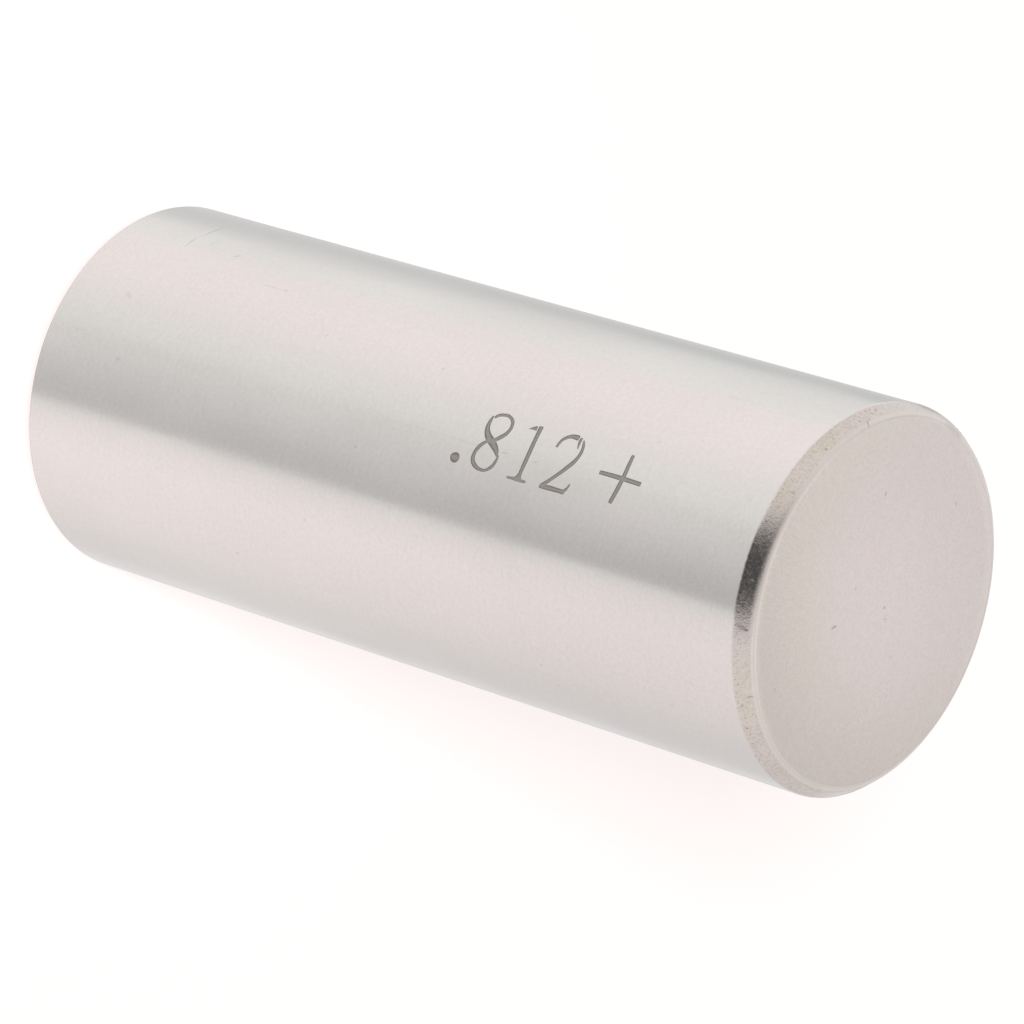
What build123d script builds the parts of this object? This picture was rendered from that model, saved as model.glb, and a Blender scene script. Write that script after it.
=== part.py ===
from build123d import *
import os

# A plain cylindrical pin gauge, standing on one end. +Z runs along its axis,
# and the origin is the centre of the lower end face. All sizes are in millimetres.

# Ground cylinder: the gauging wall
GAUGE_DIAMETER = 20.627  # 0.812 in, as marked, and the few micrometres that plus size is ground above it
GAUGE_LENGTH = 50.8  # 2 in over the two end faces

# Upper end: a lead that guides the pin into a hole, a cone steeper than 45 degrees
LEAD_LENGTH = 0.72  # along the axis
LEAD_DEPTH = 0.52  # across the radius
LEAD_FACE_RADIUS = 0.6  # edge between the lead and the lapped end face
LEAD_WALL_RADIUS = 0.4  # edge between the lead and the gauging wall

# Lower end: its edge is only broken, at 45 degrees
BREAK_SIZE = 0.3  # along the axis and across the radius
BREAK_EDGE_RADIUS = 0.1  # both edges of the break

gauge_radius = GAUGE_DIAMETER / 2
lead_start = GAUGE_LENGTH - LEAD_LENGTH


def gauge_pin():
    """The pin turned from half its section: two flat faces, the wall, the lead and the broken edge."""
    with BuildPart() as pin:
        with BuildSketch(Plane.XZ):
            with BuildLine():
                outline = FilletPolyline(
                    (0, 0),
                    (gauge_radius - BREAK_SIZE, 0),
                    (gauge_radius, BREAK_SIZE),
                    (gauge_radius, lead_start),
                    (gauge_radius - LEAD_DEPTH, GAUGE_LENGTH),
                    (0, GAUGE_LENGTH),
                    radius=[BREAK_EDGE_RADIUS, BREAK_EDGE_RADIUS, LEAD_WALL_RADIUS, LEAD_FACE_RADIUS],
                )
                Line(outline @ 1, outline @ 0)
            make_face()
        revolve(axis=Axis.Z)
    return pin.part


os.makedirs("parts", exist_ok=True)
export_step(gauge_pin(), "parts/gauge_pin.step")
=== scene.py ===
import math
from functools import partial

import bpy
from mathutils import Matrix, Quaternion, Vector, noise as smooth_noise
from mathutils.geometry import delaunay_2d_cdt


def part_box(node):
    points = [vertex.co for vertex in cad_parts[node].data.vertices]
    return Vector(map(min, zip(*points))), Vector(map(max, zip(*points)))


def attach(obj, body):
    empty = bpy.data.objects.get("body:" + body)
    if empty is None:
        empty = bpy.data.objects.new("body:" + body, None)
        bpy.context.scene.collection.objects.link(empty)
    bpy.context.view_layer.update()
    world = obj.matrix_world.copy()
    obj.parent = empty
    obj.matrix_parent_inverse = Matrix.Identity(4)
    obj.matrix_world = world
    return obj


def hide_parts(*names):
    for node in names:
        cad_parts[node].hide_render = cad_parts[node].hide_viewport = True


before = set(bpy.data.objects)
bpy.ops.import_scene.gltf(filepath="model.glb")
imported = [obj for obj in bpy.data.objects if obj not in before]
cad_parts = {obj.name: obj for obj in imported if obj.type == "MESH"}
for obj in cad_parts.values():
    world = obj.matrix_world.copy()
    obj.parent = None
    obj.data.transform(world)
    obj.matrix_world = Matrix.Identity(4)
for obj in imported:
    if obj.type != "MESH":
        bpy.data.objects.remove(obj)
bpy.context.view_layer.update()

bl_info = {
    "name": "Pin gauge",
    "version": (1, 0, 0),
    "blender": (4, 5, 0),
    "location": "3D View > Sidebar > Pin gauge",
    "description": "Builds a ground steel pin gauge with its etched size, and the studio it stands in",
    "category": "Object",
}

# The frame: the pin stands on its lower end face, with +Z along its axis
PIN_NODE = "gauge_pin"
PIN_BODY = "root"
PIN_LOW, PIN_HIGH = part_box(PIN_NODE)
PIN_LENGTH = PIN_HIGH.z - PIN_LOW.z
PIN_RADIUS = min(-PIN_LOW.x, PIN_HIGH.x, -PIN_LOW.y, PIN_HIGH.y)

MM = 0.001
TO_MM = 1000.0


def linear(hex_colour):
    """The linear red, green, blue and alpha of an sRGB hex colour."""
    channels = [int(hex_colour[i : i + 2], 16) / 255 for i in (1, 3, 5)]
    return [c / 12.92 if c <= 0.04045 else ((c + 0.055) / 1.055) ** 2.4 for c in channels] + [1.0]


def outward(angle):
    """The level unit vector at an angle about the axis."""
    return Vector((math.cos(angle), math.sin(angle), 0))


def pointing(bearing, elevation):
    """The unit vector at a bearing and an elevation in degrees."""
    turn, lift = math.radians(bearing), math.radians(elevation)
    return (math.cos(turn) * math.cos(lift), math.sin(turn) * math.cos(lift), math.sin(lift))


# Sizes, colours and the studio, as a user would set them


class PinSizes(bpy.types.PropertyGroup):
    """Sizes of the pin itself."""

    radius: bpy.props.FloatProperty(
        name="Wall radius", default=PIN_RADIUS, subtype="DISTANCE",
        description="Radius of the ground gauging wall",
    )
    length: bpy.props.FloatProperty(
        name="Length", default=PIN_LENGTH, subtype="DISTANCE",
        description="Distance between the two end faces",
    )
    lead_length: bpy.props.FloatProperty(
        name="Lead length", default=0.72 * MM, subtype="DISTANCE",
        description="Length of the upper end's lead, along the axis",
    )
    lead_depth: bpy.props.FloatProperty(
        name="Lead depth", default=0.52 * MM, subtype="DISTANCE",
        description="Depth of the upper end's lead, across the radius",
    )
    lead_face_radius: bpy.props.FloatProperty(
        name="Lead face radius", default=0.6 * MM, subtype="DISTANCE",
        description="Radius of the edge between the lead and the end face",
    )
    lead_offset: bpy.props.FloatProperty(
        name="Lead offset", default=0.12 * MM, subtype="DISTANCE",
        description="How far off the pin's axis the lead and the upper face's rim were cut",
    )
    lead_bearing: bpy.props.FloatProperty(
        name="Lead bearing", default=math.radians(151), subtype="ANGLE",
        description="Angle about the axis, from +X, that the lead is off towards",
    )
    lead_wall_radius: bpy.props.FloatProperty(
        name="Lead wall radius", default=0.4 * MM, subtype="DISTANCE",
        description="Radius of the edge between the lead and the wall",
    )
    break_size: bpy.props.FloatProperty(
        name="Break size", default=0.3 * MM, subtype="DISTANCE",
        description="Size of the lower end's broken edge, along the axis and across the radius",
    )
    break_edge_radius: bpy.props.FloatProperty(
        name="Break edge radius", default=0.1 * MM, subtype="DISTANCE",
        description="Radius of both edges of the lower end's broken edge",
    )
    columns: bpy.props.IntProperty(
        name="Columns", default=720, min=72,
        description="Faces round the pin",
    )


class MarkingSizes(bpy.types.PropertyGroup):
    """Where the etched size stands on the wall, and how deep it is."""

    start_height: bpy.props.FloatProperty(
        name="Start height", default=30.25 * MM, subtype="DISTANCE",
        description="Height of the decimal point above the lower end face; the line reads upwards",
    )
    facing: bpy.props.FloatProperty(
        name="Facing", default=math.radians(-90), subtype="ANGLE",
        description="Angle about the axis, from +X, that the middle of the line faces",
    )
    depth: bpy.props.FloatProperty(
        name="Depth", default=0.01 * MM, subtype="DISTANCE",
        description="Depth of the etched strokes below the wall",
    )


class SteelColours(bpy.types.PropertyGroup):
    """Colours of the steel's finishes."""

    ground: bpy.props.FloatVectorProperty(
        name="Ground wall", default=linear("#DEDAD7"), size=4, subtype="COLOR",
        description="Steel as cylindrical grinding leaves it",
    )
    lapped: bpy.props.FloatVectorProperty(
        name="Lapped face", default=linear("#DAD1D0"), size=4, subtype="COLOR",
        description="Steel of the lapped end faces",
    )
    lapped_rim: bpy.props.FloatVectorProperty(
        name="Lapped rim", default=linear("#DAD2CD"), size=4, subtype="COLOR",
        description="The lapped face toward its rim, a little yellower than its middle",
    )
    lead: bpy.props.FloatVectorProperty(
        name="Lead", default=linear("#D8CDC8"), size=4, subtype="COLOR",
        description="Steel of the coarser lead",
    )
    lead_stain: bpy.props.FloatVectorProperty(
        name="Lead stain", default=linear("#D5CCC1"), size=4, subtype="COLOR",
        description="Yellower patches that heat has left on the lead",
    )
    etched: bpy.props.FloatVectorProperty(
        name="Etched strokes", default=linear("#7F7A75"), size=4, subtype="COLOR",
        description="Oxide that the etching leaves in the strokes",
    )
    etched_edge: bpy.props.FloatVectorProperty(
        name="Etched edge", default=linear("#6A6158"), size=4, subtype="COLOR",
        description="Browner oxide along the edge of each stroke",
    )
    etched_middle: bpy.props.FloatVectorProperty(
        name="Etched middle", default=linear("#969391"), size=4, subtype="COLOR",
        description="Thinner, greyer oxide down the middle of each stroke",
    )


class StudioSettings(bpy.types.PropertyGroup):
    """The camera, the floor and the light."""

    azimuth: bpy.props.FloatProperty(
        name="Azimuth", default=math.radians(12.56), subtype="ANGLE",
        description="Camera's bearing round the pin: 0 looks along +Y",
    )
    elevation: bpy.props.FloatProperty(
        name="Elevation", default=math.radians(38.68), subtype="ANGLE",
        description="Angle that the camera looks down at",
    )
    roll: bpy.props.FloatProperty(
        name="Roll", default=math.radians(107.02), subtype="ANGLE",
        description="Turn of the camera about its own axis, which lays the standing pin across the picture",
    )
    distance: bpy.props.FloatProperty(
        name="Distance", default=312.7 * MM, subtype="DISTANCE",
        description="From the camera to the point that it aims at",
    )
    aim_height: bpy.props.FloatProperty(
        name="Aim height", default=26.67 * MM, subtype="DISTANCE",
        description="Height of the point that the camera aims at",
    )
    aim_side: bpy.props.FloatProperty(
        name="Aim side", default=0.91 * MM, subtype="DISTANCE",
        description="Distance of that point from the axis, to the unrolled camera's right",
    )
    lens: bpy.props.FloatProperty(
        name="Lens", default=207.9, min=1.0,
        description="Focal length in millimetres on a sensor 36 mm wide",
    )


# Shader nodes

# Settings of the ranges that ease in and out
SMOOTH = {"interpolation_type": "SMOOTHSTEP"}


def add_node(tree, kind, inputs=(), stops=None, **settings):
    """Adds one node with its settings. Its inputs, by name or in the order of the sockets in use, are
    values, sockets or nodes; a node gives its first output in use. Stops are a ramp's places and colours."""
    node = tree.nodes.new("ShaderNode" + kind)
    for name, value in settings.items():
        setattr(node, name, value)
    if isinstance(inputs, dict):
        inputs = [(node.inputs[name], value) for name, value in inputs.items()]
    else:
        inputs = zip([socket for socket in node.inputs if socket.enabled], inputs)
    for socket, value in inputs:
        if isinstance(value, bpy.types.Node):
            value = next(output for output in value.outputs if output.enabled)
        if isinstance(value, bpy.types.NodeSocket):
            tree.links.new(value, socket)
        else:
            socket.default_value = value
    if stops:
        ramp = node.color_ramp.elements
        while len(ramp) < len(stops):
            ramp.new(1.0)
        for element, (position, colour) in zip(ramp, stops):
            element.position = position
            element.color = colour
    return node


def new_material(name):
    """An empty node material, and add_node bound to its tree."""
    material = bpy.data.materials.new(name)
    material.use_nodes = True
    material.node_tree.nodes.clear()
    return material, partial(add_node, material.node_tree)


def millimetres(add):
    """The surface point in the pin's own frame, in millimetres. A noise there has Scale lumps in each."""
    return add("VectorMath", [add("TexCoord").outputs["Object"], TO_MM], operation="SCALE")


def unrolled(add, place):
    """The wall laid flat: height, and arc from the marking's middle line, in millimetres."""
    turned = add("VectorMath", [place, (-1.0, -1.0, 1.0)], operation="MULTIPLY")
    part = add("SeparateXYZ", [turned]).outputs
    turn = add("Math", [part["X"], part["Y"]], operation="ARCTAN2")
    arc = add("Math", [turn, PIN_RADIUS * TO_MM], operation="MULTIPLY")
    return add("CombineXYZ", [part["Z"], arc])


def steel(add, colour, shade, roughness, height, relief, extra=None):
    """The metal shader that ends each material. Shade darkens the colour; relief is the depth in metres that
    the height stands for."""
    shaded = add("VectorMath", [colour, shade], operation="SCALE")
    bump = add("Bump", {"Height": height, "Distance": relief})
    inputs = {"Base Color": shaded, "Roughness": roughness, "Normal": bump, "Metallic": 1.0}
    shader = add("BsdfPrincipled", inputs | (extra or {}))
    add("OutputMaterial", {"Surface": shader})


def marks_at(add, flat_place, marks, uneven=0.12):
    """How marked the surface is. Each mark is an uneven ellipse: x, y, two half sizes, turn and strength."""
    wander = add("TexNoise", {"Vector": flat_place, "Scale": 7.0}).outputs["Color"]
    wander = add("VectorMath", [wander, (0.5, 0.5, 0.5)], operation="SUBTRACT")
    flat_place = add("VectorMath", [wander, (uneven, uneven, 0.0), flat_place], operation="MULTIPLY_ADD")
    total = 0.0
    for x, y, half_length, half_width, turn, strength in marks:
        inputs = {
            "Vector": flat_place,
            "Location": (x, y, 0),
            "Rotation": (0, 0, math.radians(turn)),
            "Scale": (half_length, half_width, 1),
        }
        placed = add("Mapping", inputs, vector_type="TEXTURE")
        reach = add("VectorMath", [placed], operation="LENGTH")
        mark = add("MapRange", [reach, 0.3, 1.0, strength, 0.0], **SMOOTH)
        total = add("Math", [mark, total], operation="MAXIMUM")
    return total


# Marks that handling has left on the wall, and a band of painted shade: height, arc from the marking's
# middle line, half length along the axis, half width, turn and strength, in millimetres and degrees
WALL_MARKS_AND_SHADE = [
    (5.1, 8.6, 1.2, 0.07, 90, 0.65),
    (5.0, 6.9, 0.75, 0.07, 96, 0.60),
    (6.3, 7.5, 0.7, 0.05, 80, 0.40),
    (8.6, 6.8, 0.32, 0.10, 40, 0.60),
    (12.7, 5.2, 1.1, 0.05, 0, 0.40),
    (13.7, 5.2, 0.12, 0.09, 0, 0.55),
    (17.7, 3.6, 1.3, 0.05, -49, 0.15),
    (18.4, 3.07, 0.07, 0.20, 0, 0.45),
    (26.7, 3.1, 0.12, 0.10, 0, 0.50),
    (21.3, 3.0, 0.10, 0.08, 0, 0.35),
    (19.4, 3.1, 0.12, 0.09, 0, 0.35),
    (41.8, 2.5, 0.12, 0.09, 0, 0.40),
    (23.7, -2.3, 0.12, 0.10, 0, 0.40),
    (21.0, -6.9, 0.10, 0.09, 0, 0.40),
    (15.5, -10.3, 0.14, 0.10, 0, 0.45),
    (37.3, -12.6, 0.14, 0.10, 0, 0.50),
    (36.7, -11.3, 0.12, 0.10, 0, 0.40),
    (45.5, -11.1, 0.12, 0.10, 0, 0.40),
    (29.7, -0.4, 5.6, 0.06, 0, 0.12),
    (33.2, -0.4, 0.35, 0.08, 0, 0.45),
    (35.3, -0.4, 0.25, 0.08, 0, 0.45),
    (5.9, -1.5, 0.26, 0.16, 5, 0.36),
    (4.5, 2.1, 0.50, 0.20, -30, 0.22),
    (44.0, 6.7, 2.0, 0.15, 3, 0.07),
    (49.9, 10.9, 0.22, 0.07, 10, 0.60),
    # painted shade, not a mark: a band that dims the bright edge where the wall meets the lead
    (50.0, 14.0, 0.25, 1.4, 0, 0.40),
]
# Nicks in the upper face: x, y and the rest as above
FACE_MARKS = [
    (2.28, -2.39, 0.30, 0.10, 136, 1.0),
    (-0.01, -2.08, 0.14, 0.06, 20, 0.7),
    (-0.15, 0.84, 0.15, 0.08, 100, 0.9),
    (0.30, 1.30, 0.14, 0.06, 110, 0.5),
    (-4.89, -3.07, 0.18, 0.07, 30, 1.0),
    (-6.89, 2.78, 0.14, 0.08, 40, 0.7),
    (1.67, 3.13, 0.12, 0.07, 0, 0.5),
    (6.71, -4.73, 0.15, 0.07, 60, 0.5),
]
# Stains and nicks on the lead, and two bands of painted shade: arc from the marking's middle line, height
# and the rest as above
LEAD_MARKS_AND_SHADE = [
    (-5.42, 50.33, 0.36, 0.19, 57, 0.65),
    (-5.52, 50.46, 0.15, 0.11, 57, 1.00),
    (9.58, 50.29, 0.11, 0.08, 100, 0.90),
    (9.15, 50.38, 0.10, 0.07, 100, 0.80),
    (9.23, 50.16, 0.08, 0.07, 0, 0.60),
    (8.96, 50.17, 0.07, 0.07, 0, 0.60),
    (8.07, 50.48, 0.08, 0.07, 0, 0.55),
    (8.42, 50.69, 0.14, 0.08, 70, 0.70),
    (8.65, 50.58, 0.08, 0.07, 0, 0.60),
    (12.68, 50.23, 0.12, 0.05, 0, 0.60),
    (5.20, 50.48, 0.08, 0.07, 0, 0.80),
    (2.05, 50.50, 0.13, 0.06, 90, 0.60),
    (-9.29, 50.58, 0.15, 0.06, 80, 0.60),
    (-9.76, 50.23, 0.08, 0.07, 0, 0.70),
    (-11.2, 50.20, 0.08, 0.07, 0, 0.80),
    # painted shade, not stains: two bands that dim the bright edge between the wall and the lead
    (14.2, 50.28, 1.5, 0.22, 0, 0.50),
    (16.3, 50.70, 1.3, 0.16, 0, 0.35),
]
# Fresh scratches whose glint is a painted highlight, likewise
LEAD_PAINTED_GLINTS = [(-2.93, 50.37, 0.13, 0.04, 80, 1.0)]
# How much of the lapped colour's light the lead's smoothed edge gives: painted shade, to meet the face's
# painted shade at its rim
SMOOTHED_SHADE = 0.95
# Where heat has yellowed the lead, in the same terms as the marks
LEAD_STAINS = [
    (3.6, 50.3, 4.6, 2.0, 0, 1.0),
    (-9.0, 50.3, 3.2, 2.0, 0, 0.8),
]


def ground_steel(colours):
    """Hardened tool steel, cylindrically ground: fine lines run round the pin, so its gloss is sharp across
    the pin and spreads along it. Handling has left faint scratches and spots."""
    material, add = new_material("ground_tool_steel")
    place = millimetres(add)
    # Real grit lines are 0.02 mm apart; they are drawn 0.15 mm apart so that they show
    line_place = add("VectorMath", [place, (0.12, 0.12, 6.7)], operation="MULTIPLY")
    lines = add("TexNoise", {"Vector": line_place, "Scale": 1.0, "Detail": 3.0})
    grain = add("TexNoise", {"Vector": place, "Scale": 5.5, "Detail": 3.0})
    smear_place = add("VectorMath", [place, (0.25, 0.25, 0.12)], operation="MULTIPLY")
    smears = add("TexNoise", {"Vector": smear_place, "Scale": 1.0})
    marks = marks_at(add, unrolled(add, place), WALL_MARKS_AND_SHADE)
    pattern = add("Math", [lines, 0.25, grain], operation="MULTIPLY_ADD")
    shade = add("MapRange", [pattern, 0.3, 0.95, 0.97, 1.03], **SMOOTH)
    # Painted shade: the upper end of one side is darker, standing in for a dimmer reflection there
    part = add("SeparateXYZ", [place]).outputs
    painted_shade_side = add("MapRange", [part["X"], 0.0, 7.2, 0.0, 0.09], **SMOOTH)
    upwards = add("MapRange", [part["Z"], 3.0, 50.0, 0.38, -0.62], **SMOOTH)
    shade = add("Math", [painted_shade_side, upwards, shade], operation="MULTIPLY_ADD")
    marks_and_painted_light = add("Math", [marks, -0.30, shade], operation="MULTIPLY_ADD")
    roughness = add("MapRange", [smears, 0.3, 0.7, 0.19, 0.24], **SMOOTH)
    # The gloss is turned a quarter, from round the pin to along it
    tangent = add("Tangent", direction_type="RADIAL", axis="Z")
    gloss = {"Tangent": tangent, "Anisotropic": 0.85, "Anisotropic Rotation": 0.25}
    steel(add, colours.ground[:3], marks_and_painted_light, roughness, pattern, 0.0012 * MM, gloss)
    return material


def lapped_steel(colours):
    """The same steel lapped flat on a plate with fine grit: an even satin, with painted shade toward its
    rim.
    """
    material, add = new_material("lapped_tool_steel")
    place = millimetres(add)
    grain = add("TexNoise", {"Vector": place, "Scale": 7.0, "Detail": 3.0})
    clouds = add("TexNoise", {"Vector": place, "Scale": 0.3})
    flat_place = add("VectorMath", [place, (1.0, 1.0, 0.0)], operation="MULTIPLY")
    marks = marks_at(add, flat_place, FACE_MARKS)
    reach = add("VectorMath", [flat_place], operation="LENGTH")
    # Short scratches cross one side of the rim. Real ones are 0.02 mm apart; these are 0.11 mm apart to show
    arc = add("SeparateXYZ", [unrolled(add, place)]).outputs["Y"]
    rim_place = add("CombineXYZ", [arc, reach])
    rim_place = add("VectorMath", [rim_place, (9.0, 0.9, 1.0)], operation="MULTIPLY")
    scratches = add("TexNoise", {"Vector": rim_place, "Scale": 1.0})
    scratches = add("Math", [scratches, 0.5], operation="SUBTRACT")
    across = add("SeparateXYZ", [place]).outputs["Y"]
    scratched = add("MapRange", [across, -9.2, -5.5, 1.0, 0.0], **SMOOTH)
    pattern = add("Math", [scratches, scratched, grain], operation="MULTIPLY_ADD")
    shade = add("MapRange", [pattern, 0.15, 0.85, 0.94, 1.06], **SMOOTH)
    inner, outer = [
        add("VectorMath", [flat_place, middle], operation="DISTANCE")
        for middle in ((-3.0, 2.0, 0.0), (-8.1, 0.7, 0.0))
    ]
    rim = add("MapRange", [inner, 4.5, 9.0, 0.0, 1.0], **SMOOTH)
    colour = add("Mix", [rim, colours.lapped, colours.lapped_rim], data_type="RGBA")
    # Painted highlight: a bright line runs along the rim on the side that points this way, and a fainter one
    # opposite, where the rounded edge catches the light
    toward = add("VectorMath", [place, pointing(-50, 0)], operation="DOT_PRODUCT")
    opposite_highlight = add("MapRange", [toward, -8.5, -5.5, 0.045, 0.0], **SMOOTH)
    painted_light = add("MapRange", [toward, 6.5, 9.4, opposite_highlight, 0.08], **SMOOTH)
    edge = add("MapRange", [reach, 9.0, 9.42, 0.0, painted_light], **SMOOTH)
    shade = add("Math", [shade, edge], operation="ADD")
    # Painted shade: it darkens slowly from one side to the other, and from its middle outwards
    for darkening in ([outer, 8.9, 21.0, 1.0, 0.841], [reach, 1.3, 8.4, 1.002, 0.951]):
        darker = add("MapRange", darkening, **SMOOTH)
        shade = add("Math", [shade, darker], operation="MULTIPLY")
    marks_and_painted_light = add("Math", [marks, -0.4, shade], operation="MULTIPLY_ADD")
    roughness = add("MapRange", [clouds, 0.3, 0.7, 0.26, 0.34], **SMOOTH)
    steel(add, colour, marks_and_painted_light, roughness, pattern, 0.0015 * MM)
    return material


def lead_shift(sizes):
    """How far and which way the lead's own axis stands from the pin's."""
    return outward(sizes.lead_bearing) * sizes.lead_offset


def lead_steel(colours, sizes):
    """Tool steel as the lathe cut it, hardened after and never ground: the lead is duller than the wall, a
    little yellowed, and full of fine dark pits. Lapping the end face has smoothed the lead's inner edge, and
    rubbing has brightened it on one side. A painted highlight and shade run along the smoothed edge."""
    material, add = new_material("turned_tool_steel")
    place = millimetres(add)
    part = add("SeparateXYZ", [place]).outputs
    pits, spots, patches, clouds = [
        add("TexNoise", {"Vector": place, "Scale": scale, "Detail": detail})
        for scale, detail in ((11.5, 1.5), (6.0, 2.0), (2.6, 3.0), (0.7, 2.0))
    ]
    flat_place = unrolled(add, place)
    flat_part = add("SeparateXYZ", [flat_place]).outputs
    height, arc = flat_part["X"], flat_part["Y"]
    centred = add("VectorMath", [place, lead_shift(sizes) * TO_MM], operation="SUBTRACT")
    centred = add("VectorMath", [centred, (1.0, 1.0, 0.0)], operation="MULTIPLY")
    reach = add("VectorMath", [centred], operation="LENGTH")
    # Rubbing has worn the side that points this way
    worn_side = add("VectorMath", [place, pointing(170, 0)], operation="DOT_PRODUCT")
    uneven = add("Math", [patches, 3.0, worn_side], operation="MULTIPLY_ADD")
    rubbed = add("MapRange", [uneven, 7.0, 9.6, 0.0, 1.0], **SMOOTH)
    # The smoothing is narrowest below the marking
    beside = add("Math", [arc, 2.3], operation="ADD")
    beside = add("Math", [beside], operation="ABSOLUTE")
    inner = add("MapRange", [beside, 2.5, 5.0, 9.70, 9.80], **SMOOTH)
    outer = add("MapRange", [beside, 2.5, 5.0, 9.88, 9.93], **SMOOTH)
    smoothed = add("MapRange", [reach, inner, outer, 1.0, 0.0], **SMOOTH)
    rough = add("MapRange", [reach, inner, outer, 0.0, 1.0], **SMOOTH)
    turned = add("Mapping", {"Vector": flat_place, "Rotation": (0, 0, math.pi / 2)})
    marks, painted_glints, stains = [
        marks_at(add, turned, [(-x, y, *rest) for x, y, *rest in listed], unevenness)
        for listed, unevenness in ((LEAD_MARKS_AND_SHADE, 0.12), (LEAD_PAINTED_GLINTS, 0.03), (LEAD_STAINS, 0.12))
    ]
    stained = add("MapRange", [clouds, 0.35, 0.6, 0.5, 1.0], **SMOOTH)
    stained = add("Math", [stained, stains], operation="MULTIPLY")
    # The smoothed edge takes the lapped rim's colour, dimmed by painted shade
    smooth_colour = [channel * SMOOTHED_SHADE for channel in colours.lapped_rim[:3]] + [1.0]
    colour = colours.lead
    layers = [(stained, colours.lead_stain), (smoothed, smooth_colour), (rubbed, colours.lapped_rim)]
    for share, other in layers:
        colour = add("Mix", [share, colour, other], data_type="RGBA")
    # The pits are thickest beside the wall
    thick = add("MapRange", [height, 50.1, 50.5, 0.38, 0.22], **SMOOTH)
    thick = add("MapRange", [worn_side, 5.6, 7.2, thick, 0.0], **SMOOTH)
    thick = add("MapRange", [reach, 9.76, 9.86, 0.0, thick], **SMOOTH)
    pitted = add("MapRange", [pits, 0.57, 0.71, 0.0, thick], **SMOOTH)
    # A fine grey line divides the face from the rubbed side
    line_reach = add("MapRange", [arc, 9.0, 18.0, 9.60, 9.74], **SMOOTH)
    line = add("Math", [reach, line_reach], operation="SUBTRACT")
    line = add("Math", [line], operation="ABSOLUTE")
    strength = add("MapRange", [arc, 16.0, 17.4, 0.10, 0.0], **SMOOTH)
    strength = add("MapRange", [arc, 6.0, 13.0, 0.01, strength], **SMOOTH)
    line = add("MapRange", [line, 0.0, 0.07, strength, 0.0], **SMOOTH)
    shade = add("MapRange", [clouds, 0.3, 0.7, 1.02, 0.98], **SMOOTH)
    shade = add("Math", [shade, line], operation="SUBTRACT")
    # Painted highlight and shade: the smoothed edge brightens outwards. On the side towards +X it comes to a
    # crest and falls off again
    low = add("MapRange", [worn_side, 7.0, 9.5, -0.03, 0.04], **SMOOTH)
    high = add("MapRange", [worn_side, 3.0, 5.0, 0.055, 0.08], **SMOOTH)
    behind = add("MapRange", [reach, 9.63, 9.75, low, high], **SMOOTH)
    crest = add("MapRange", [part["Y"], -4.5, -1.5, 0.185, 0.14], **SMOOTH)
    fall = add("MapRange", [part["Y"], -8.5, -5.0, -0.07, 0.07], **SMOOTH)
    before = add("MapRange", [reach, 9.77, 9.87, crest, fall], **SMOOTH)
    before = add("MapRange", [reach, 9.62, 9.74, 0.04, before], **SMOOTH)
    painted_light = add("MapRange", [part["X"], 2.5, 5.0, behind, before], **SMOOTH)
    mottled = add("Math", [spots, 0.5], operation="SUBTRACT")
    mottled = add("Math", [mottled, 0.35], operation="MULTIPLY")
    # Adds the painted highlight and shade of the smoothed edge, the random mottling, and the painted glints
    for share, amount in ((smoothed, painted_light), (rough, mottled), (painted_glints, 3.0)):
        shade = add("Math", [share, amount, shade], operation="MULTIPLY_ADD")
    marks_and_painted_light = add("Math", [marks, -0.5, shade], operation="MULTIPLY_ADD")
    darkened = add("Math", [marks_and_painted_light, pitted], operation="SUBTRACT")
    roughness = add("MapRange", [reach, 9.66, 9.90, 0.30, 0.20], **SMOOTH)
    duller = add("MapRange", [spots, 0.45, 0.65, 0.0, 0.07], **SMOOTH)
    roughness = add("Math", [duller, rough, roughness], operation="MULTIPLY_ADD")
    relief = add("Math", [pits, rough], operation="MULTIPLY")
    steel(add, colour, darkened, roughness, relief, 0.006 * MM)
    return material


def etched_steel(colours):
    """Steel darkened by laser etching: a thin oxide, brown along a stroke's edge and grey in its middle."""
    material, add = new_material("laser_etched_oxide")
    core = add("Attribute", attribute_name="stroke_core").outputs["Fac"]
    grain = add("TexNoise", {"Vector": millimetres(add), "Scale": 7.0, "Detail": 3.0})
    amount = add("Math", [grain, 0.5, core], operation="MULTIPLY_ADD")
    stops = [(0.15, colours.etched_edge), (0.55, colours.etched), (1.0, colours.etched_middle)]
    oxide = add("ValToRGB", [amount], stops)
    bump = add("Bump", {"Height": grain, "Distance": 0.01 * MM})
    inputs = {"Base Color": oxide, "Roughness": 0.5, "Metallic": 0.6, "Normal": bump}
    shader = add("BsdfPrincipled", inputs)
    add("OutputMaterial", {"Surface": shader})
    return material


# The etched size: numerals drawn with a pen, in millimetres. Each stroke is a list of x, y and pen width;
# x runs along the line of text from each numeral's own start, and y up from the foot of the numerals.

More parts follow.
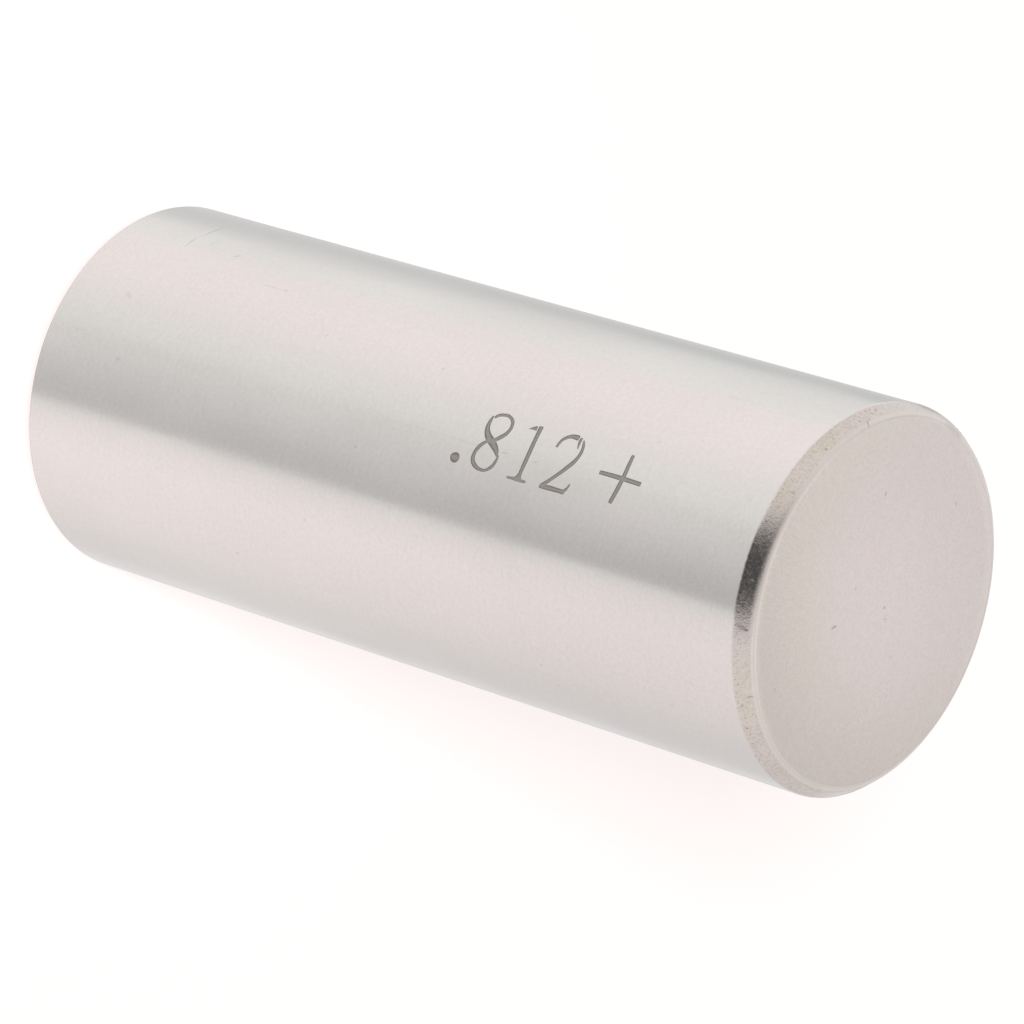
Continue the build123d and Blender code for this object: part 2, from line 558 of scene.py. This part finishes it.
DOT = [[(-0.29, 0.26, 0.08), (-0.21, 0.26, 0.38), (0.0, 0.25, 0.55), (0.20, 0.25, 0.44), (0.29, 0.25, 0.12)]]
EIGHT = [
    # the heavy stroke, from upper left to lower right
    [
        (0.20, 2.90, 0.12), (0.17, 2.62, 0.20), (0.19, 2.32, 0.27), (0.30, 2.04, 0.33), (0.55, 1.77, 0.40),
        (0.90, 1.55, 0.42), (1.22, 1.33, 0.36), (1.45, 1.10, 0.25), (1.57, 0.90, 0.08),
    ],
    # the light stroke of the upper bowl
    [
        (0.33, 2.87, 0.16), (0.50, 3.04, 0.18), (0.78, 3.13, 0.18), (1.14, 3.14, 0.17), (1.50, 2.92, 0.19),
        (1.62, 2.60, 0.20), (1.58, 2.34, 0.22), (1.46, 2.12, 0.24), (1.20, 1.86, 0.24), (1.00, 1.68, 0.20),
    ],
    # the light stroke of the lower bowl
    [
        (0.62, 1.55, 0.16), (0.42, 1.38, 0.20), (0.23, 1.13, 0.23), (0.12, 0.80, 0.22), (0.14, 0.46, 0.25),
        (0.35, 0.20, 0.25), (0.72, 0.04, 0.19), (1.16, 0.06, 0.15), (1.49, 0.33, 0.20), (1.62, 0.66, 0.17),
        (1.65, 0.98, 0.07),
    ],
]
ONE = [
    # stem, flared at its foot
    [
        (0.66, 3.06, 0.28), (0.70, 2.38, 0.25), (0.73, 1.37, 0.26), (0.70, 0.49, 0.23), (0.68, 0.34, 0.26),
        (0.67, 0.22, 0.36), (0.66, 0.12, 0.62),
    ],
    # flag
    [(0.02, 2.79, 0.04), (0.22, 2.88, 0.15), (0.42, 2.93, 0.27)],
    # foot
    [(-0.02, 0.05, 0.12), (0.30, 0.07, 0.14), (0.68, 0.07, 0.18), (1.00, 0.07, 0.15), (1.20, 0.07, 0.12)],
]
TWO = [
    # hook
    [
        (0.15, 2.29, 0.16), (0.20, 2.55, 0.16), (0.34, 2.81, 0.19), (0.62, 3.01, 0.22), (0.90, 3.07, 0.27),
        (1.15, 3.06, 0.30),
    ],
    # neck and diagonal
    [
        (1.54, 3.02, 0.05), (1.63, 2.84, 0.15), (1.72, 2.60, 0.18), (1.75, 2.34, 0.20), (1.70, 2.02, 0.22),
        (1.56, 1.70, 0.25), (1.35, 1.40, 0.25), (1.14, 1.12, 0.22), (0.86, 0.80, 0.20), (0.54, 0.45, 0.20),
        (0.22, 0.15, 0.20),
    ],
    # inner line of the shoulder
    [(1.35, 3.10, 0.14), (1.34, 2.92, 0.18), (1.38, 2.70, 0.13), (1.44, 2.48, 0.05)],
    # foot and its rising tip
    [(0.14, 0.09, 0.18), (0.60, 0.13, 0.26), (1.25, 0.14, 0.24), (1.74, 0.14, 0.24)],
    [(1.66, 0.13, 0.20), (1.84, 0.36, 0.14), (1.92, 0.60, 0.10)],
]
PLUS = [
    [(0.05, 1.655, 0.22), (1.30, 1.665, 0.25), (2.70, 1.64, 0.24)],
    [(1.37, 0.32, 0.24), (1.49, 1.05, 0.26), (1.54, 1.80, 0.25), (1.50, 2.50, 0.23), (1.47, 2.97, 0.20)],
]
# Each numeral with its start along the line, from the decimal point's middle
MARKING = [(0.0, DOT), (1.0, EIGHT), (3.70, ONE), (5.72, TWO), (9.09, PLUS)]
TEXT_HEIGHT = 3.2
PLUS_WIDTH = 2.7
PEN_STEPS = 6  # points along a stroke between two of its own
CAP_STEPS = 6  # points round a stroke's end
CAP_BULGE = 0.4  # how far a stroke's end stands out, as a share of half its width
PATCH_MARGIN = 0.8  # wall left round the marking within its own patch of mesh
PATCH_PITCH = 0.25  # spacing of the patch's points along the axis


def catmull_rom(a, b, c, d, t):
    """A point between b and c on the smooth curve through four points."""
    return 0.5 * (2 * b + (c - a) * t + (2 * a - 5 * b + 4 * c - d) * t**2 + (3 * b - a - 3 * c + d) * t**3)


def pen_path(stroke):
    """The stroke's smooth centre line, with the pen's width as each point's third number."""
    points = [Vector(p) for p in stroke]
    points = [2 * points[0] - points[1]] + points + [2 * points[-1] - points[-2]]
    path = []
    for a, b, c, d in zip(points, points[1:], points[2:], points[3:]):
        path += [catmull_rom(a, b, c, d, step / PEN_STEPS) for step in range(PEN_STEPS)]
    return path + [points[-2]]


def pen_outline(path):
    """The closed outline that a broad pen of changing width leaves along a path."""
    left, right = [], []
    for i, point in enumerate(path):
        ahead = path[min(i + 1, len(path) - 1)] - path[max(i - 1, 0)]
        side = Vector((-ahead.y, ahead.x)).normalized() * point.z / 2
        left.append(point.xy + side)
        right.append(point.xy - side)
    return left + pen_end(left[-1], right[-1]) + right[::-1] + pen_end(right[0], left[0])


def pen_end(start, end):
    """Points of the slightly bulging end that turns clockwise from start to end."""
    middle = (start + end) / 2
    arm = start - middle
    bulge = Vector((arm.y, -arm.x)) * CAP_BULGE
    turns = [math.pi * step / CAP_STEPS for step in range(1, CAP_STEPS)]
    return [middle + arm * math.cos(turn) + bulge * math.sin(turn) for turn in turns]


def inside(point, outline):
    """True if the point lies within the closed outline."""
    hit = False
    for a, b in zip(outline, outline[1:] + outline[:1]):
        if (a.y > point.y) != (b.y > point.y):
            if point.x < a.x + (point.y - a.y) / (b.y - a.y) * (b.x - a.x):
                hit = not hit
    return hit


# The pin's mesh


GROUND, LAPPED, LEAD, ETCHED = range(4)  # material slots
EDGE_STEPS = 8  # faces round each rounded edge of the section
FACE_RINGS = 5  # rings of faces from an end face's rim to its middle
WALL_ROWS = 12  # rows of faces up the wall
ROW_CLEARANCE = 1 * MM  # least gap between such a row and the marking's patch
# How the lead's foot wanders up and down the wall: height, waves round the pin and the bearing of a crest
LEAD_FOOT = [(0.128 * MM, 1, math.radians(124)), (0.064 * MM, 2, math.radians(-27))]
FOOT_ROUGHNESS = 0.03 * MM
FOOT_GRAIN = 60  # lumps of that roughness in one radian
FOOT_REACH = 1.5  # how far below the upper face the foot may move the wall, in lead lengths
PATCH_MERGE = 1e-6  # points of the patch nearer than this become one


def rounded_corner(before, corner, after, edge_radius):
    """Rings of the arc that rounds one corner of the section: radius, height and the normal's tilt."""
    came, goes = (corner - before).normalized(), (after - corner).normalized()
    tilt_in, tilt_out = math.atan2(-came.x, came.y), math.atan2(-goes.x, goes.y)
    start = corner - came * edge_radius * math.tan((tilt_out - tilt_in) / 2)
    centre = start - Vector((came.y, -came.x)) * edge_radius
    tilts = [tilt_in + (tilt_out - tilt_in) * step / EDGE_STEPS for step in range(EDGE_STEPS + 1)]
    return [(centre.x + edge_radius * math.cos(t), centre.y + edge_radius * math.sin(t), t) for t in tilts]


def pin_section(sizes, wall_stops):
    """The section's rings from the lower face to the upper one, and the finish of the strip above each."""
    radius, length = sizes.radius, sizes.length
    lead_start = length - sizes.lead_length
    corners = [
        Vector(corner)
        for corner in (
            (0, 0),
            (radius - sizes.break_size, 0),
            (radius, sizes.break_size),
            (radius, lead_start),
            (radius - sizes.lead_depth, length),
            (0, length),
        )
    ]
    edge_radii = [sizes.break_edge_radius] * 2 + [sizes.lead_wall_radius, sizes.lead_face_radius]
    edges = [rounded_corner(*corners[i : i + 3], edge_radius) for i, edge_radius in enumerate(edge_radii)]
    steps = range(1, FACE_RINGS)
    lower_rim, upper_rim = edges[0][0][0], edges[3][-1][0]
    lower_face = [(lower_rim * step / FACE_RINGS, 0.0, -math.pi / 2) for step in steps]
    upper_face = [(upper_rim * (1 - step / FACE_RINGS), length, math.pi / 2) for step in steps]
    low, high = wall_stops
    rows = [length * step / WALL_ROWS for step in range(1, WALL_ROWS)]
    rows = [row for row in rows if not low - ROW_CLEARANCE < row < high + ROW_CLEARANCE]
    wall = [(radius, row, 0.0) for row in sorted(rows + [low, high])]
    rings = lower_face + edges[0] + edges[1] + wall + edges[2] + edges[3] + upper_face
    finishes = (
        [LAPPED] * (len(lower_face) + EDGE_STEPS)
        + [LEAD] * (1 + EDGE_STEPS)
        + [GROUND] * (len(wall) + 1 + EDGE_STEPS // 2)
        + [LEAD] * (EDGE_STEPS // 2 + EDGE_STEPS)
        + [LAPPED] * (1 + len(upper_face))
    )
    return rings, finishes


class PinMesh:
    """Collects the pin's points, faces and shading normals."""

    def __init__(self, sizes, marking):
        self.sizes = sizes
        self.marking = marking
        self.points = []
        self.normals = []
        self.core = []
        self.faces = []
        self.finishes = []
        self.flat = []

    def point(self, radius, angle, height, tilt, core=0.0):
        """Adds a point of the surface and returns its number."""
        self.points.append(outward(angle) * radius + Vector((0, 0, height)))
        self.normals.append(outward(angle) * math.cos(tilt) + Vector((0, 0, math.sin(tilt))))
        self.core.append(core)
        return len(self.points) - 1

    def face(self, corners, finish, flat=False):
        """Adds a face; a flat one is shaded by its own normal."""
        self.faces.append(corners)
        self.finishes.append(finish)
        self.flat.append(flat)


def column_angle(sizes, column):
    """Angle of a column's line about the axis."""
    return 2 * math.pi * column / sizes.columns


def lean_lead(mesh, rings, numbers):
    """Moves the lead off the pin's axis, as it was cut: its rim across, its foot up and down the wall."""
    sizes = mesh.sizes
    lowest = sizes.length - FOOT_REACH * sizes.lead_length
    across = lead_shift(sizes)
    for (radius, height, _), ring in zip(rings, numbers):
        if height < lowest:
            continue
        share = min(max((sizes.radius - radius) / sizes.lead_depth, 0.0), 1.0)
        for column, number in enumerate(ring):
            angle = column_angle(sizes, column)
            climb = sum(size * math.cos(waves * (angle - crest)) for size, waves, crest in LEAD_FOOT)
            climb += FOOT_ROUGHNESS * smooth_noise.noise(outward(angle) * FOOT_GRAIN)
            mesh.points[number] += across * share + Vector((0, 0, climb * (1 - share)))


def build_pin_mesh(sizes, marking):
    """The whole closed surface: end faces, lead, broken edge, and the wall with the etched recess in it."""
    mesh = PinMesh(sizes, marking)
    text_low = marking.start_height - PATCH_MARGIN * MM
    text_high = marking.start_height + (MARKING[-1][0] + PLUS_WIDTH + PATCH_MARGIN) * MM
    rings, finishes = pin_section(sizes, (text_low, text_high))
    numbers = [
        [mesh.point(radius, column_angle(sizes, column), height, tilt) for column in range(sizes.columns)]
        for radius, height, tilt in rings
    ]
    lean_lead(mesh, rings, numbers)
    half_width = (TEXT_HEIGHT / 2 + PATCH_MARGIN) * MM / sizes.radius
    first = round((marking.facing - half_width) / (2 * math.pi) * sizes.columns)
    last = round((marking.facing + half_width) / (2 * math.pi) * sizes.columns)
    patch_columns = {column % sizes.columns for column in range(first, last)}
    patch_row = next(i for i, ring in enumerate(rings) if ring[1] == text_low)
    for row, finish in enumerate(finishes):
        for column in range(sizes.columns):
            if row == patch_row and column in patch_columns:
                continue
            ahead = (column + 1) % sizes.columns
            low, high = numbers[row], numbers[row + 1]
            mesh.face([low[column], low[ahead], high[ahead], high[column]], finish)
    for ring, height, tilt in ((numbers[0], 0.0, -math.pi / 2), (numbers[-1], sizes.length, math.pi / 2)):
        centre = mesh.point(0.0, 0.0, height, tilt)
        middle = sum((mesh.points[number].xy for number in ring), Vector((0, 0))) / sizes.columns
        mesh.points[centre] = middle.to_3d() + Vector((0, 0, height))
        for column in range(sizes.columns):
            pair = [ring[column], ring[(column + 1) % sizes.columns]]
            mesh.face((pair if tilt > 0 else pair[::-1]) + [centre], LAPPED)
    add_marking(mesh, numbers[patch_row], numbers[patch_row + 1], first, last, text_low, text_high)
    return mesh


def add_marking(mesh, low_ring, high_ring, first, last, text_low, text_high):
    """Fills the patch left in the wall, with the strokes of the marking sunk into it."""
    sizes, marking = mesh.sizes, mesh.marking
    middle = TEXT_HEIGHT / 2

    def flat_place(angle, height):
        """A place on the wall laid flat, in millimetres: x along the text, y up across it."""
        along, up = (height - marking.start_height) / MM, (marking.facing - angle) * sizes.radius / MM
        return Vector((along, up + middle))

    def sunk_point(place, depth=0.0, core=0.0):
        """Adds the point at a depth below such a place, and returns its number."""
        angle = marking.facing - (place.y - middle) * MM / sizes.radius
        height = marking.start_height + place.x * MM
        return mesh.point(sizes.radius - depth, angle, height, 0.0, core)

    flat, fixed, edges = [], {}, []
    for ring, height in ((low_ring, text_low), (high_ring, text_high)):
        start = len(flat)
        for column in range(first, last + 1):
            fixed[len(flat)] = ring[column % sizes.columns]
            flat.append(flat_place(column_angle(sizes, column), height))
        edges += [(i, i + 1) for i in range(start, len(flat) - 1)]
    side = last - first + 1
    edges += [(0, side), (side - 1, 2 * side - 1)]
    outlines, bases = [], []
    core_places = set()
    for start, strokes in MARKING:
        for stroke in strokes:
            path = [point + Vector((start, 0, 0)) for point in pen_path(stroke)]
            outline = pen_outline(path)
            base = len(flat)
            outlines.append(outline)
            bases.append(base)
            flat += outline
            edges += [(base + i, base + (i + 1) % len(outline)) for i in range(len(outline))]
            core_places.update(range(len(flat), len(flat) + len(path)))
            flat += [point.xy for point in path]
    # An edge that runs inside another stroke doesn't show
    for outline, base in zip(outlines, bases):
        others = [other for other in outlines if other is not outline]
        for i, place in enumerate(outline):
            if any(inside(place, other) for other in others):
                core_places.add(base + i)
    boxes = []
    for outline in outlines:
        across, up = [point.x for point in outline], [point.y for point in outline]
        boxes.append((min(across), max(across), min(up), max(up)))

    def etched(place):
        """True if a stroke covers the place."""
        return any(
            low_x <= place.x <= high_x and low_y <= place.y <= high_y and inside(place, outline)
            for outline, (low_x, high_x, low_y, high_y) in zip(outlines, boxes)
        )

    rows = int((text_high - text_low) / MM / PATCH_PITCH)
    for column in range(first + 1, last):
        for row in range(1, rows):
            height = text_low + (text_high - text_low) * row / rows
            place = flat_place(column_angle(sizes, column), height)
            if not etched(place):
                flat.append(place)

    places, _, triangles, origins, _, _ = delaunay_2d_cdt(flat, edges, [], 0, PATCH_MERGE)
    wall_numbers, floor_numbers = {}, {}

    def wall_number(i):
        """The wall's point at one of the patch's places."""
        if i not in wall_numbers:
            kept = [fixed[k] for k in origins[i] if k in fixed]
            wall_numbers[i] = kept[0] if kept else sunk_point(places[i])
        return wall_numbers[i]

    def floor_number(i):
        """The point below it, on a stroke's floor."""
        if i not in floor_numbers:
            core = 1.0 if core_places.intersection(origins[i]) else 0.0
            floor_numbers[i] = sunk_point(places[i], marking.depth, core)
        return floor_numbers[i]

    borders = {}
    for triangle in triangles:
        centre = (places[triangle[0]] + places[triangle[1]] + places[triangle[2]]) / 3
        sunk = etched(centre)
        number = floor_number if sunk else wall_number
        mesh.face([number(i) for i in triangle], ETCHED if sunk else GROUND)
        for a, b in zip(triangle, triangle[1:] + triangle[:1]):
            borders.setdefault(frozenset((a, b)), []).append((sunk, a, b))
    for sides in borders.values():
        if len(sides) == 2 and sides[0][0] != sides[1][0]:
            _, a, b = next(side for side in sides if side[0])
            corners = [floor_number(b), floor_number(a), wall_number(a), wall_number(b)]
            mesh.face(corners, ETCHED, flat=True)


def add_object(name, data):
    """A new object in the scene."""
    added = bpy.data.objects.new(name, data)
    bpy.context.scene.collection.objects.link(added)
    return added


def mesh_object(name, mesh, materials):
    """A Blender object from the collected surface, with its shading normals."""
    data = bpy.data.meshes.new(name)
    data.from_pydata(mesh.points, [], mesh.faces)
    for material in materials:
        data.materials.append(material)
    data.polygons.foreach_set("material_index", mesh.finishes)
    data.polygons.foreach_set("use_smooth", [True] * len(mesh.faces))
    attribute = data.attributes.new("stroke_core", "FLOAT", "POINT")
    attribute.data.foreach_set("value", mesh.core)
    normals = []
    for polygon, flat in zip(data.polygons, mesh.flat):
        for corner in polygon.vertices:
            normals.append(polygon.normal.copy() if flat else mesh.normals[corner])
    data.normals_split_custom_set(normals)
    data.validate()
    return add_object(name, data)


class PIN_OT_build(bpy.types.Operator):
    """Build the pin with its ends, its ground wall and its etched size"""

    bl_idname = "pin_gauge.build"
    bl_label = "Build the pin"

    def execute(self, context):
        scene = context.scene
        colours = scene.steel_colours
        materials = [
            ground_steel(colours),
            lapped_steel(colours),
            lead_steel(colours, scene.pin_sizes),
            etched_steel(colours),
        ]
        pin = mesh_object("ground_pin", build_pin_mesh(scene.pin_sizes, scene.marking_sizes), materials)
        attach(pin, PIN_BODY)
        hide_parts(PIN_NODE)
        return {"FINISHED"}


# The studio

FLOOR_SIDE = 4.0
FLOOR_GAP = 0.02 * MM
SENSOR_WIDTH = 36.0


def build_floor():
    """A plain pale floor that the pin stands on. It shows white, and keeps the pin's soft shadow."""
    half = FLOOR_SIDE / 2
    data = bpy.data.meshes.new("floor")
    corners = [(-half, -half), (half, -half), (half, half), (-half, half)]
    data.from_pydata([(x, y, -FLOOR_GAP) for x, y in corners], [], [(0, 1, 2, 3)])
    floor = add_object("floor", data)
    material, add = new_material("pale_floor")
    matt = add("BsdfDiffuse", {"Color": linear("#B0AAA7")})
    # The glow is stronger near the pin's foot, where the pin keeps the studio's light off the floor
    away = add("VectorMath", [millimetres(add)], operation="LENGTH")
    near = add("Math", [1.5, away], operation="DIVIDE")
    strength = add("Math", [near, 0.490], operation="ADD")
    glow = add("Emission", {"Color": linear("#FFF6F7"), "Strength": strength})
    lit = add("AddShader", [matt, glow])
    rays = add("LightPath").outputs["Is Camera Ray"]
    shown = add("MixShader", [rays, matt, lit])
    below = add("NewGeometry").outputs["Backfacing"]
    clear = add("BsdfTransparent")
    one_sided = add("MixShader", [below, shown, clear])
    add("OutputMaterial", {"Surface": one_sided})
    data.materials.append(material)
    floor.visible_glossy = False


# The studio as the metal sees it: bearing about the axis in degrees, and colour. Low down it is white with
# two grey flats; above, it is a shade off white, with a dark place in front of the pin.
LOW_STUDIO = [
    (-180, "#F4F4F3"), (-170, "#FBF5F6"), (-153, "#FCF5F5"), (-137, "#F9F3F4"), (-121, "#F0EFEE"),
    (-104, "#E9EBE9"), (-96, "#E4E4E3"), (-88, "#E3E2E2"), (-72, "#D7D6D6"), (-64, "#CFCFCF"),
    (-52, "#C6C6C6"), (-49, "#E9E9E9"), (-37, "#F6F0F1"), (-23, "#F9F2F3"), (10, "#F3ECED"),
    (42, "#E3E2E1"), (66, "#DFDCDD"), (84, "#EBEAEC"), (97, "#C3C9CA"), (110, "#DCE0DF"),
    (118, "#DBDBDC"), (130, "#CECECE"), (142, "#BBBFC1"), (150, "#DDE0E2"), (158, "#EEF2EF"),
    (166, "#F2F1F1"), (180, "#F4F4F3"),
]
HIGH_STUDIO = [
    (-180, "#E9E8E8"), (-110, "#E8E7E7"), (-40, "#EAE9E9"), (10, "#E7E7E6"), (40, "#DCDBDB"),
    (72, "#DAD9D9"), (98, "#E1E0DF"), (125, "#E5E5E5"), (180, "#E9E8E8"),
]
# How much of the dark place shows at each distance to the side of the camera's bearing
DARK_SHAPE = [
    (-0.70, 0), (-0.60, 0.06), (-0.50, 0.098), (-0.42, 0.188), (-0.38, 0.323), (-0.34, 0.503),
    (-0.30, 0.716), (-0.26, 0.939), (-0.20, 1), (0.32, 1), (0.36, 0.888), (0.40, 0.604),
    (0.44, 0.342), (0.48, 0.144), (0.56, 0.08), (0.72, 0),
]
DARK = "#484C4C"
OVERHEAD = "#FFFAF8"
STUDIO_LEVEL = 1.16


def build_world():
    """White light on every matt surface, and a soft grey and white studio for the metal to reflect."""
    world = bpy.data.worlds.new("studio")
    bpy.context.scene.world = world
    world.use_nodes = True
    world.node_tree.nodes.clear()
    add = partial(add_node, world.node_tree)
    direction = add("TexCoord").outputs["Generated"]
    part = add("SeparateXYZ", [direction]).outputs
    bearing = add("Math", [part["Y"], part["X"]], operation="ARCTAN2")
    turn = add("MapRange", [bearing, -math.pi, math.pi])
    # The flat at one side leans
    leaning = add("MapRange", [part["Z"], -0.722, -0.522, -0.03, 0.03], **SMOOTH)
    there = add("MapRange", [turn, 0.93, 0.97, 1.0, 0.0], **SMOOTH)
    there = add("MapRange", [turn, 0.84, 0.88, 0.0, there], **SMOOTH)
    leant = add("Math", [leaning, there, turn], operation="MULTIPLY_ADD")
    low, high = [
        add("ValToRGB", [leant], [((degrees + 180) / 360, linear(tone)) for degrees, tone in flats])
        for flats in (LOW_STUDIO, HIGH_STUDIO)
    ]
    # The flats darken upwards, and the white round them doesn't
    depth = add("MapRange", [part["Z"], -0.68, -0.60, 0.94, 1.10])
    white = linear("#FFFFFF")
    low = add("Mix", [depth, white, low], data_type="RGBA", clamp_factor=False)
    # A lamp hangs high up behind the pin, and the dark place is in front of it
    behind, before, beside = [
        add("VectorMath", [direction, towards], operation="DOT_PRODUCT")
        for towards in (pointing(103, 54), pointing(-77, 0), pointing(13, 0))
    ]
    overhead = add("MapRange", [behind, 0.93, 0.995, 0.0, 1.0], **SMOOTH)
    high = add("Mix", [overhead, high, linear(OVERHEAD)], data_type="RGBA")
    beside = add("MapRange", [beside, -1.0, 1.0])
    stops = [((side + 1) / 2, (share, share, share, 1.0)) for side, share in DARK_SHAPE]
    shape = add("ValToRGB", [beside], stops)
    nearest = add("MapRange", [beside, 0.5, 0.68, -0.5, 0.25], **SMOOTH)
    near = add("MapRange", [before, nearest, 0.85, 0.0, 1.0], **SMOOTH)
    shaped = add("Math", [near, shape], operation="MULTIPLY")
    high = add("Mix", [shaped, high, linear(DARK)], data_type="RGBA")
    rise = add("MapRange", [part["Z"], -0.42, -0.18, 0.0, 1.0], **SMOOTH)
    studio = add("Mix", [rise, low, high], data_type="RGBA")
    studio = add("VectorMath", [studio, STUDIO_LEVEL], operation="SCALE")
    rays = add("LightPath").outputs
    mirrored = add("Math", [rays["Is Glossy Ray"], rays["Is Transmission Ray"]], operation="MAXIMUM")
    seen = add("Mix", [mirrored, white, studio], data_type="RGBA")
    light = add("Background", {"Color": seen})
    add("OutputWorld", {"Surface": light})


LAMP_POWER = 1.75
LAMP_SPREAD = 9  # degrees across, which softens its shadow
LAMP_ELEVATION = 38  # degrees above the floor
LAMP_BEARING = 6.5  # degrees round the axis from -Y


def build_lamp():
    """A weak, soft lamp on the marking's side: it lays a faint shadow, and no metal mirrors it."""
    data = bpy.data.lights.new("soft_lamp", "SUN")
    data.energy = LAMP_POWER
    data.angle = math.radians(LAMP_SPREAD)
    lamp = add_object("soft_lamp", data)
    lamp.visible_glossy = False
    lamp.rotation_euler = (math.radians(90 - LAMP_ELEVATION), 0, math.radians(LAMP_BEARING))


def build_camera(studio):
    """The camera at the photograph's viewing angle, rolled to lay the standing pin across the picture."""
    data = bpy.data.cameras.new("camera")
    data.lens = studio.lens
    data.sensor_width = SENSOR_WIDTH
    data.clip_start = 0.01
    data.clip_end = 10.0
    camera = add_object("camera", data)
    right = outward(studio.azimuth)
    back = outward(studio.azimuth - math.pi / 2) * math.cos(studio.elevation)
    back.z = math.sin(studio.elevation)
    camera.location = right * studio.aim_side + Vector((0, 0, studio.aim_height)) + back * studio.distance
    camera.rotation_mode = "QUATERNION"
    roll = Quaternion((0, 0, 1), studio.roll)
    camera.rotation_quaternion = (-back).to_track_quat("-Z", "Y") @ roll
    bpy.context.scene.camera = camera


class PIN_OT_stage(bpy.types.Operator):
    """Set up the floor, the light and the camera"""

    bl_idname = "pin_gauge.stage"
    bl_label = "Set the stage"

    def execute(self, context):
        build_floor()
        build_world()
        build_lamp()
        build_camera(context.scene.studio_settings)
        context.scene.view_settings.view_transform = "Standard"
        return {"FINISHED"}


class PIN_PT_panel(bpy.types.Panel):
    """Lists the steps and the sizes in the 3D view's sidebar"""

    bl_idname = "PIN_PT_panel"
    bl_label = "Pin gauge"
    bl_space_type = "VIEW_3D"
    bl_region_type = "UI"
    bl_category = "Pin gauge"

    def draw(self, context):
        for group in GROUPS:
            settings = getattr(context.scene, group)
            for name in settings.__annotations__:
                self.layout.prop(settings, name)
        for operator in (PIN_OT_build, PIN_OT_stage):
            self.layout.operator(operator.bl_idname)


GROUPS = {
    "pin_sizes": PinSizes,
    "marking_sizes": MarkingSizes,
    "steel_colours": SteelColours,
    "studio_settings": StudioSettings,
}
CLASSES = [*GROUPS.values(), PIN_OT_build, PIN_OT_stage, PIN_PT_panel]


def register():
    for cls in CLASSES:
        bpy.utils.register_class(cls)
    for name, group in GROUPS.items():
        setattr(bpy.types.Scene, name, bpy.props.PointerProperty(type=group))


def unregister():
    for name in GROUPS:
        delattr(bpy.types.Scene, name)
    for cls in reversed(CLASSES):
        bpy.utils.unregister_class(cls)


def main():
    register()
    bpy.ops.pin_gauge.build()
    bpy.ops.pin_gauge.stage()


if __name__ == "__main__":
    main()
